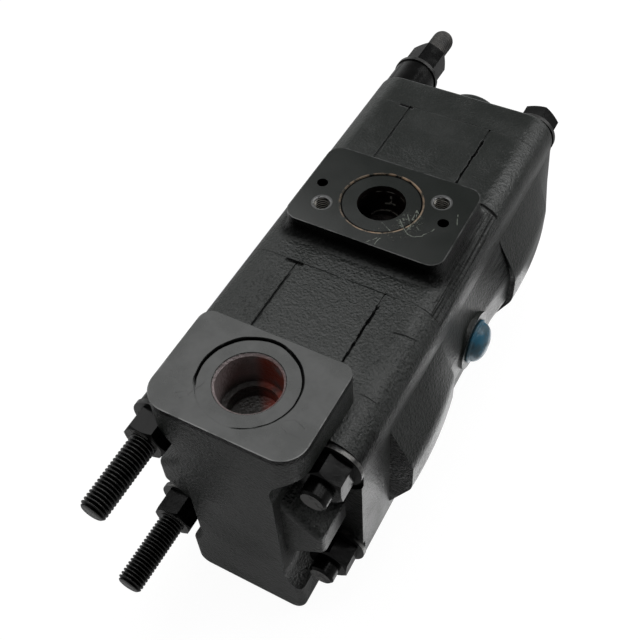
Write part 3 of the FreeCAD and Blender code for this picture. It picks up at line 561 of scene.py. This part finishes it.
def dark_ring(g, from_port, machined):
    """Dark ring round the near port, nearly gone on its near side."""
    line = g.near(g.plus(from_port, g.wander(11, 1.2)), DARK_RING_RADIUS, 0.75, 0.3)
    kept = g.ramp(g.plus(g.times(g.x, 0.45), g.less(g.y, NEAR_PORT_Y)), -22.5, -18.5)
    return g.times(line, g.patches(13, 0.30, 0.42, detail=2), machined, g.blend(kept, 0.1, 1.0))


def rim_shade(g, from_port):
    """Painted shade: a black band on the rounded rim of the near pad, where the shadow below its edge
    falls.
    """
    rim = g.times(g.ramp(g.nz, 0.85, 0.6), g.ramp(g.z, NEAR_PAD_TOP - 4, NEAR_PAD_TOP - 3))
    rim = g.times(rim, g.ramp(g.y, *NEAR_RIM_BACK), g.ramp(from_port, 22, 26))
    return g.times(rim, g.patches(9, 0.3, 0.5, 0.75, 1.0))


def recess_shade(g):
    """Painted shade: black deep in the recess to the right of the trunk, below the pad's rim."""
    beside_trunk = g.ramp(g.x, TRUNK_HALF_WIDTH - 1.3, TRUNK_HALF_WIDTH + 1.7)
    within = g.times(g.ramp(g.y, *RECESS_FRONT), g.ramp(g.y, *RECESS_BACK), g.ramp(g.z, *RECESS_DOWN))
    return g.times(beside_trunk, within, g.ramp(g.nz, 0.8, 0.4), g.patches(11, 0.3, 0.6, 0.92, 0.7))


def port_iron(g):
    """Bare iron of the near port, darkened towards its bottom as painted shade, with red primer on its
    right side.
    """
    side = g.plus(g.times(g.x, 0.8), g.times(g.less(g.y, NEAR_PORT_Y), 0.6))
    primer = g.times(g.ramp(side, 2.0, 9.0), g.patches(10, 0.25, 0.5), g.ramp(g.z, *PRIMER_DOWN))
    # Darker towards the port's bottom, as painted shade.
    iron = g.mix(g.ramp(g.z, *PORT_BOTTOM), g.mix(g.noise(7, 3), *BARE_IRON), grey(0.03, 0.1))
    return g.mix(primer, iron, PRIMER)


def block_marks_and_painted_light(g, machined):
    """Marks of the inlet's pad and the port in it, a painted highlight along the pad's edge and on a lip
    in the bore, and painted shade in the bore, on the wall and foot below the pad, and over the machining
    lines of the shoulder beside it.
    """
    radius = g.from_centre(0, 0)
    angle = g.math("ARCTAN2", g.y, g.x)
    # Machining lines on the right shoulder, about half of them blackened as painted shade of its dark
    # band, the rest drawn lighter.
    shoulder = g.times(g.ramp(g.nz, 0.2, 0.35), g.ramp(g.nz, 0.92, 0.85), g.ramp(g.nx, 0.25, 0.4))
    shoulder = g.times(shoulder, g.inverse(machined))
    lines = g.noise(1.0, 2, 0.6, g.stretched(g.place, (1.0, 0.03, 1.0)))
    scored_and_shaded = g.times(shoulder, g.ramp(lines, 0.52, 0.40), 0.8)
    layers = [
        *recess_layers(g, radius, angle),
        (pad_scratches(g, machined), SCRATCHED, 0.8, 0.0),
        # Painted highlight along the inlet pad's upper edge.
        (edge_highlight(g, INLET_PAD, INLET_PAD_TOP), grey(0.14), 0.7, 0.3),
        *((hole_mouth(g, x, y), grey(0.30), 1.0, 0.7) for x, y in FLANGE_HOLES),
        *bore_layers(g, radius, angle),
        # Painted shade on the pad's wall, along its foot and over the shoulder's lines.
        (g.either(pad_wall_shade(g, radius), pad_foot_shade(g), scored_and_shaded), BLACK, 1.0, 1.0),
        (g.times(shoulder, g.ramp(lines, 0.5, 0.62)), grey(0.03), 0.5, 0.0),
    ]
    return layers, g.times(lines, shoulder)


def on_inlet_pad(g):
    """Mask of the top of the inlet's pad."""
    return g.ramp(g.z, INLET_PAD_TOP - 1.2, INLET_PAD_TOP - 0.8)


def recess_layers(g, radius, angle):
    """Rust on the rim of the seal's recess, a painted shadow line inside it, and chips near it."""
    rust = g.times(g.near(radius, RECESS_RADIUS + 0.1, 0.8, 0.25), g.patches(4, 0.35, 0.6, roughness=0.6))
    worst = g.either(*(g.near(angle, *side) for side in RUSTIEST))
    shadow = g.times(g.near(radius, RECESS_RADIUS - 0.7, 0.6, 0.2), g.ramp(g.z, -0.2, -0.4))
    chips = g.times(g.near(radius, RECESS_RADIUS + 0.2, 8, 3), g.near(angle, *MOST_CHIPPED))
    chips = g.times(chips, g.patches(1.6, 0.58, 0.66, detail=5, roughness=0.75), on_inlet_pad(g))
    return [
        (g.times(rust, g.blend(worst, 0.5, 1.0)), g.mix(g.noise(7), *RUST), 1.0, 0.5),
        (shadow, BLACK, 1.0, 1.0),
        (chips, CHIPPED, 0.5, 0.0),
    ]


def pad_scratches(g, machined):
    """Scratches across the inlet's pad, and fine curls where it was rubbed beside the port."""
    drawn = g.times(strokes(g, INLET_PAD_STROKES, 0.34, 1.4), g.patches(3, 0.38, 0.52), machined)
    rubbed = g.times(g.ramp(g.from_centre(*RUBBED_SPOT), 8.5, 4.5), on_inlet_pad(g))
    curls = g.near(g.noise(3.4, distortion=0.8), 0.5, 0.035, 0.012)
    return g.either(drawn, g.times(rubbed, curls, g.patches(2.2, 0.46, 0.54)))


def hole_mouth(g, x, y):
    """Bright bevel at the mouth of a flange hole."""
    bevel = g.times(g.ramp(g.z, -2.2, -1.4), g.ramp(g.z, 0.1, -0.15))
    return g.times(bevel, g.ramp(g.from_centre(x, y), HOLE_MOUTH + 0.3, HOLE_MOUTH - 0.3))


def bore_layers(g, radius, angle):
    """Bore painted nearly black as shade, with an oily brown tint, a painted highlight on a lip a little
    way down, and scuffs on its wall.
    """
    inside = g.times(g.ramp(radius, BORE_RADIUS + 0.4, BORE_RADIUS + 0.1), g.ramp(g.z, -0.9, -1.5))
    lip = g.times(g.near(g.z, BORE_LIP_HIGHLIGHT, 0.4, 0.15), g.patches(6, 0.4, 0.55, detail=2))
    way_round = g.times(angle, SCUFF_RADIUS)
    scuffs = (g.ramp(g.from_line(*step, way_round, g.z), 0.75, 0.4) for step in steps_of(BORE_SCUFFS))
    bright = g.times(g.either(lip, *scuffs), g.ramp(radius, BORE_RADIUS + 0.6, BORE_RADIUS + 0.3))
    return [
        (inside, g.mix(g.noise(5, 3), grey(0.003), OILY_SHADE), 1.0, 0.0),
        (g.times(bright, g.patches(2.4, 0.38, 0.5, roughness=0.6)), LIP_HIGHLIGHT_AND_SCUFF, 1.0, 0.4),
    ]


def pad_wall_shade(g, radius):
    """Painted shade: black wall round the inlet's pad, with level streaks in it."""
    wall = g.times(g.ramp(g.nz, 0.75, 0.45), g.ramp(g.z, *PAD_WALL), g.ramp(radius, 26, 28))
    streaks = g.noise(3, 3, 0.6, g.stretched(g.place, (0.3, 0.3, 1.0)))
    return g.times(wall, g.ramp(streaks, 0.35, 0.6, 0.88, 0.68))


def pad_foot_shade(g):
    """Painted shade: black hollow along the near foot of the inlet's pad."""
    foot = g.ramp(g.from_outline(*INLET_PAD), 7.5, 2.0)
    return g.times(foot, g.ramp(g.z, *PAD_FOOT), g.ramp(g.y, *FOOT_SHADE), 0.8)


# Finishes of the other pieces

def rubbed_and_lit_ends(g, reach):
    """Mask of the rods' near end faces, which lie beyond this reach, painted brighter as rubbed steel and
    as a painted highlight.
    """
    ends = g.times(g.ramp(g.size(g.ny), 0.9, 0.97), g.ramp(g.y, *reach))
    return g.times(ends, g.patches(5, 0.3, 0.5, detail=2))


def black_fastener():
    """Black oxide steel with paint dust, the near ends of the rods painted brighter as rubbed steel and as
    a painted highlight.
    """
    g = Paint("black_fastener")
    g.shader.inputs["Specular IOR Level"].default_value = 0.17
    dust = g.patches(9, 0.45, 0.7, detail=4, roughness=0.6)
    colour = g.mix(dust, BLACK, grey(0.004))
    colour = g.mix(g.times(rubbed_and_lit_ends(g, BOLT_ENDS), 0.8), colour, grey(0.13, 0.03))
    normal = g.bump(g.noise(6), 0.08, g.bump(g.noise(0.9, 3, 0.6), 0.03))
    return g.finish(colour, g.blend(dust, 0.18, 0.30), normal)


def stud_thread():
    """Rolled thread with rubbed crests lightened as painted highlights and its roots painted black as
    shade, under dusty paint at the far end.
    """
    g = Paint("stud_thread")
    g.shader.inputs["Specular IOR Level"].default_value = 0.4
    from_axis = g.length(g.less(g.x, STUD_X), g.less(g.apart(g.z, AXIS_Z), STUD_UP))
    painted = g.ramp(g.y, *FAR_PAINT)
    flanks = g.times(g.ramp(g.size(g.ny), 0.93, 0.85), g.inverse(painted))
    # Painted shade in the thread's roots, and painted highlights on its crests.
    roots = g.times(g.ramp(from_axis, STUD_RADIUS - 0.35, STUD_RADIUS - 0.75), flanks)
    crests = g.times(g.ramp(from_axis, STUD_RADIUS - 0.3, STUD_RADIUS - 0.12), g.patches(3, 0.3, 0.6))
    dust = g.mix(g.patches(5, 0.35, 0.65, detail=4, roughness=0.6), grey(0.018, 0.05), grey(0.05, 0.08))
    colour = g.mix(g.times(crests, 0.7), grey(0.004), grey(0.05, 0.03))
    colour = g.mix(g.times(rubbed_and_lit_ends(g, STUD_ENDS), 0.8), colour, grey(0.10, 0.03))
    colour = g.mix(roots, g.mix(painted, colour, dust), BLACK)
    return g.finish(colour, g.blend(painted, 0.24, 0.45), g.bump(g.noise(0.9, 3, 0.6), 0.05), roots)


def tapped_thread():
    """Thread cut into the iron, its roots painted black as shade, with bare crests."""
    g = Paint("tapped_thread")
    from_axis = g.least(*(g.from_centre(x, y) for x, y in FLANGE_HOLES))
    roots = g.ramp(from_axis, HOLE_RADIUS - 0.42, HOLE_RADIUS - 0.2)
    colour = g.mix(roots, g.mix(g.noise(3, 3), *CUT_IRON), BLACK)
    return g.finish(colour, g.blend(g.noise(4), 0.25, 0.4), g.bump(g.noise(0.7), 0.03), 1.0)


def washer_steel():
    """Steel washers painted with the rest, their rims rubbed, most at the near end."""
    g = Paint("washer_steel")
    rim = g.times(g.ramp(g.size(g.ny), 0.6, 0.3), g.patches(6, 0.4, 0.6, detail=4, roughness=0.6))
    rim = g.times(rim, g.ramp(g.y, *RUBBED_WASHERS, 0.1, 0.7))
    colour = g.mix(rim, grey(0.006), grey(0.22, 0.03))
    return g.finish(colour, g.blend(g.noise(6), 0.26, 0.42), g.bump(g.noise(1.2), 0.05), g.times(rim, 0.7))


def ground_steel():
    """Hardened gears and journals, ground bright along their length, with a film of oil."""
    g = Paint("ground_steel")
    ground = g.noise(0.7, vector=g.stretched(g.place, (1.0, 0.1, 1.0)))
    colour = g.mix(g.noise(18, 3), grey(0.42), grey(0.55, 0.02))
    return g.finish(colour, g.blend(g.noise(8), 0.18, 0.32), g.bump(ground, 0.01), 1.0)


def bearing_bronze():
    g = Paint("bearing_bronze")
    colour = g.mix(g.noise(9, 4, 0.6), *BRONZE)
    return g.finish(colour, g.blend(g.noise(7), 0.25, 0.4), g.bump(g.noise(0.9), 0.02), 1.0)


def seal_rubber():
    g = Paint("seal_rubber")
    colour = g.mix(g.noise(6, 3), grey(0.012), grey(0.03))
    return g.finish(colour, g.blend(g.noise(5), 0.5, 0.65), g.bump(g.noise(0.8, 3), 0.04))


def plug_plastic():
    """Blue moulded plug with sprayed paint on it."""
    g = Paint("plug_plastic")
    spray = g.patches(5, 0.42, 0.62, detail=4, roughness=0.65)
    colour = g.mix(spray, PLUG_BLUE, SPRAYED_BLUE)
    return g.finish(colour, g.blend(spray, 0.3, 0.5), g.bump(g.noise(2, 3), 0.1))


# Room and floor

def white_share(g, shown):
    """Share of plain white for rays that come straight or through glass, and for mirrored ones."""
    path = g.add("ShaderNodeLightPath").outputs
    straight = g.plus(path["Is Camera Ray"], path["Is Transmission Ray"])
    return g.plus(g.times(straight, shown), g.times(path["Is Glossy Ray"], MIRROR_GLOW))


def floor_white():
    """White floor that lights the part from below and keeps its soft shadow."""
    material = bpy.data.materials.new("floor")
    material.use_nodes = True
    g = Graph(material.node_tree)
    g.tree.nodes.clear()
    glow = g.add("ShaderNodeEmission")
    g.put(glow.inputs["Strength"], FLOOR_GLOW)
    matt = g.add("ShaderNodeBsdfDiffuse")
    g.put(matt.inputs["Color"], grey(0.42))
    surface = g.mix_shaders(white_share(g, CAMERA_GLOW), matt, glow)
    g.put(g.add("ShaderNodeOutputMaterial").inputs["Surface"], surface)
    return material


def world():
    """Pale walls, darker above, to the right and in front, behind the plain white that the camera sees."""
    scene.world = bpy.data.worlds.new("world")
    scene.world.use_nodes = True
    g = Graph(scene.world.node_tree)
    g.tree.nodes.clear()
    across, forwards, up = g.parts(g.add("ShaderNodeTexCoord").outputs["Generated"])
    level = g.times(g.ramp(up, 0.15, 0.6, WALLS, CEILING), g.ramp(across, 0.2, 0.6, 1.0, RIGHT),
                    g.ramp(forwards, -0.45, 0.1, FRONT, 1.0))
    room = g.add("ShaderNodeBackground")
    g.put(room.inputs["Color"], (0.98, 1.0, 0.99, 1))
    g.put(room.inputs["Strength"], level)
    white = g.add("ShaderNodeBackground")
    g.put(white.inputs["Color"], (1, 1, 1, 1))
    surface = g.mix_shaders(white_share(g, 1.0), room, white)
    g.put(g.add("ShaderNodeOutputWorld").inputs["Surface"], surface)


# Pieces

def mesh_object(name, points, faces, material):
    mesh = bpy.data.meshes.new(name)
    mesh.from_pydata([[c * MM for c in p] for p in points], [], faces)
    mesh.validate()
    mesh.materials.append(material)
    for polygon in mesh.polygons:
        polygon.use_smooth = True
    item = bpy.data.objects.new(name, mesh)
    scene.collection.objects.link(item)
    return item


def thread_depth(share):
    """How deep the thread is at this share of its pitch: a flat crest, two flanks and a narrow root."""
    across = abs(share % 1.0 - 0.5) * 2
    return min(max((across - 0.15) / 0.65, 0.0), 1.0)


def turned_surface(stations, radius_at, place):
    """Rings of points round an axis, one at each station, with the faces between them."""
    points, faces = [], []
    for station in stations:
        for i in range(RING):
            turn = i / RING
            points.append(place(station, radius_at(station, turn), 2 * math.pi * turn))
    for j in range(len(stations) - 1):
        for i in range(RING):
            k = (i + 1) % RING
            faces.append((j * RING + i, (j + 1) * RING + i, (j + 1) * RING + k, j * RING + k))
    return points, faces


def rows(start, end, pitch):
    """Stations close enough together to draw a thread of this pitch."""
    count = int((end - start) / pitch * ROWS_PER_TURN)
    return [start + (end - start) * i / count for i in range(count + 1)]


def threaded_stud(name, level, material):
    """Long stud on the left, threaded at both ends, with a bevelled near end and a rounded far one."""
    near, far = (corner[Y] for corner in box_of(name))
    threads = ((near, NEAR_THREAD_END), (FAR_THREAD_START, far))
    stations = sorted({y for start, end in threads for y in rows(start, end, STUD_PITCH)})

    def radius_at(y, turn):
        threaded = any(start <= y <= end for start, end in threads)
        deep = STUD_DEPTH if y < 0 else STUD_DEPTH * PAINTED_SHARE
        cut = deep * thread_depth(y / STUD_PITCH - turn) if threaded else 0.0
        return min(STUD_RADIUS - cut, STUD_RADIUS - STUD_BEVEL + y - near, far_nose(far - y))

    def place(y, radius, angle):
        return STUD_X + radius * math.cos(angle), y, AXIS_Z + level * STUD_UP + radius * math.sin(angle)

    points, faces = turned_surface(stations, radius_at, place)
    last = len(points) - RING
    faces.append(tuple(range(RING)))
    faces.append(tuple(last + i for i in reversed(range(RING))))
    item = mesh_object("threaded_" + name, points, faces, material)
    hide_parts(name)
    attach(item, "frame")


def far_nose(left):
    """Radius of the stud's rounded far end, so many millimetres before its tip."""
    if left >= NOSE_LENGTH:
        return STUD_RADIUS
    share = (NOSE_LENGTH - left) / NOSE_LENGTH
    return NOSE_TIP + (STUD_RADIUS - NOSE_TIP) * math.sqrt(max(0.0, 1 - share ** 2))


def hole_thread(name, hole, material):
    """Tapped thread in a flange hole, whose crests stand in from the drilled wall."""
    x, y = hole

    def radius_at(z, turn):
        return HOLE_RADIUS - HOLE_CLEARANCE - HOLE_RIDGE * (1 - thread_depth(z / HOLE_PITCH - turn))

    def place(z, radius, angle):
        return x + radius * math.cos(angle), y - radius * math.sin(angle), z

    points, faces = turned_surface(rows(*HOLE_THREAD, HOLE_PITCH), radius_at, place)
    item = mesh_object(name, points, [face[::-1] for face in faces], material)
    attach(item, "frame")


def plug_dome(material):
    """Domed cap of the transport plug, with a rounded rim where it bears on the boss."""
    low, high = box_of("side_port_plug")
    middle_y, middle_z = (low[Y] + high[Y]) / 2, (low[Z] + high[Z]) / 2
    tip, rim = high[X], (high[Z] - low[Z]) / 2
    foot = tip - DOME_RIM - DOME_HEIGHT
    radii = {foot - 0.2: rim - 1.2, foot + 0.15: rim - 0.3, foot + 0.8: rim, foot + 1.5: rim - 0.4}
    for i in range(DOME_ROWS):
        turn = math.pi / 2 * i / DOME_ROWS
        radii[foot + DOME_RIM + DOME_HEIGHT * math.sin(turn)] = (rim - 1.5) * math.cos(turn) ** 0.8
    radii[tip] = 0.05

    def place(x, radius, angle):
        return x, middle_y + radius * math.cos(angle), middle_z + radius * math.sin(angle)

    points, faces = turned_surface(list(radii), lambda x, turn: radii[x], place)
    item = mesh_object("plug_dome", points, faces, material)
    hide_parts("side_port_plug")
    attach(item, "frame")


def inlet_pad_foot(material):
    """Concave fillet where the inlet's pad rises from the block, narrow beside the rear joint."""
    points, faces = [], []
    path = pad_path()
    for x, y, nx, ny in path:
        reach = min(FOOT_REACH, max(FOOT_LEAST, BLOCK_END - 0.5 - y))
        foot = (x, y, block_top(x))
        wall = (x - nx * FOOT_OVERLAP, y - ny * FOOT_OVERLAP, foot[2] + reach)
        out = (x + nx * reach, y + ny * reach, block_top(x + nx * reach) - FOOT_OVERLAP)
        for i in range(FOOT_ROWS + 1):
            t = i / FOOT_ROWS
            by_wall, by_foot, by_out = (1 - t) ** 2, 2 * t * (1 - t), t * t
            points.append([by_wall * a + by_foot * b + by_out * c for a, b, c in zip(wall, foot, out)])
    width = FOOT_ROWS + 1
    for j in range(len(path)):
        k = (j + 1) % len(path)
        for i in range(FOOT_ROWS):
            faces.append((j * width + i, k * width + i, k * width + i + 1, j * width + i + 1))
    item = mesh_object("inlet_pad_foot", points, [face[::-1] for face in faces], material)
    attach(item, "frame")


def block_top(x):
    """Height of the block's top surface, which falls away over its rounded shoulders."""
    over = max(0.0, abs(x) - SHOULDER_X)
    return STACK_TOP - SHOULDER_RADIUS + math.sqrt(max(0.0, SHOULDER_RADIUS ** 2 - over ** 2))


def pad_path():
    """Points round the inlet pad's outline, counter-clockwise, with the direction outwards at each."""
    (left, front), (right, back), corner = INLET_PAD
    centres = ((right - corner, back - corner), (left + corner, back - corner),
               (left + corner, front + corner), (right - corner, front + corner))
    path = []
    for index, (cx, cy) in enumerate(centres):
        for i in range(CORNER_STEPS + 1):
            angle = math.radians(90 * (index + i / CORNER_STEPS))
            nx, ny = math.cos(angle), math.sin(angle)
            path.append((cx + corner * nx, cy + corner * ny, nx, ny))
        start_x, start_y = path[-1][:2]
        next_x, next_y = centres[(index + 1) % len(centres)]
        step_x = (next_x + corner * nx - start_x) / SIDE_STEPS
        step_y = (next_y + corner * ny - start_y) / SIDE_STEPS
        path += [(start_x + step_x * i, start_y + step_y * i, nx, ny) for i in range(1, SIDE_STEPS)]
    return path


def floor():
    level = cad_box[LOW][Z] / MM - FLOOR_GAP
    corners = [(x * FLOOR_HALF, y * FLOOR_HALF, level) for x, y in ((-1, -1), (1, -1), (1, 1), (-1, 1))]
    mesh_object("floor", corners, [(0, 1, 2, 3)], floor_white())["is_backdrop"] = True


def paint_nodes():
    """Gives each node its finish, and each casting the paint with its own marks."""
    makers = {
        "black_fastener": black_fastener, "washer_steel": washer_steel, "ground_steel": ground_steel,
        "bearing_bronze": bearing_bronze, "seal_rubber": seal_rubber, "plug_plastic": plug_plastic,
    }
    finishes = {slot: maker() for slot, maker in makers.items()}
    housing = casting_paint("housing_paint", housing_marks)
    castings = {
        "near_end_cover": casting_paint("near_cover_paint", near_cover_marks_and_painted_light),
        "centre_port_block": casting_paint("block_paint", block_marks_and_painted_light),
        "front_gear_housing": housing,
        "rear_gear_housing": housing,
        "far_end_cover": casting_paint("far_cover_paint", plain_marks),
    }
    for part in frame["record"]["subparts"]:
        mesh = nodes[part["node"]].data
        mesh.materials.clear()
        mesh.materials.append(castings.get(part["node"]) or finishes[part["material_slot"]])
    return castings, finishes


# Light and camera

def camera():
    data = bpy.data.cameras.new("camera")
    data.lens = LENS
    data.sensor_width = SENSOR
    data.clip_start = 0.01
    data.clip_end = 20
    item = bpy.data.objects.new("camera", data)
    item.location = CAMERA_PLACE
    item.rotation_euler = Euler([math.radians(turn) for turn in CAMERA_TURN], "XYZ")
    scene.collection.objects.link(item)
    scene.camera = item


def softbox(name, place, target, size, power, seen=True):
    """Rectangular light, in metres and watts, which the camera may or may not see."""
    data = bpy.data.lights.new(name, "AREA")
    data.shape = "RECTANGLE"
    data.size, data.size_y = size
    data.energy = power
    item = bpy.data.objects.new(name, data)
    item.location = place
    item.rotation_euler = (Vector(target) - Vector(place)).to_track_quat("-Z", "Y").to_euler()
    item.visible_camera = seen
    scene.collection.objects.link(item)


camera()
world()
scene.view_settings.view_transform = "Standard"
softbox("overhead", (-0.3, 0.085, 1.1), (0, 0, 0), (1.2, 1.2), 9.2)
softbox("right", (1.0, 0.8, 0.72), (0, 0, -0.05), (0.65, 0.5), 3.8)
softbox("upper_right", (0.58, 0.75, 1.05), (0, 0, 0), (0.7, 0.6), 4.2)
softbox("side_card", (0.09, -0.02, -0.15), (0.09, -0.02, 1), (0.05, 0.28), 0.07, seen=False)
floor()
castings, finishes = paint_nodes()
plug_dome(finishes["plug_plastic"])
inlet_pad_foot(castings["centre_port_block"])
thread_finish = stud_thread()
threaded_stud("upper_left_stud", 1, thread_finish)
threaded_stud("lower_left_stud", -1, thread_finish)
tapped_finish = tapped_thread()
hole_thread("right_hole_thread", FLANGE_HOLES[0], tapped_finish)
hole_thread("left_hole_thread", FLANGE_HOLES[1], tapped_finish)

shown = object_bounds()
[[list(corner) for corner in box] for box in (cad_box, shown)]
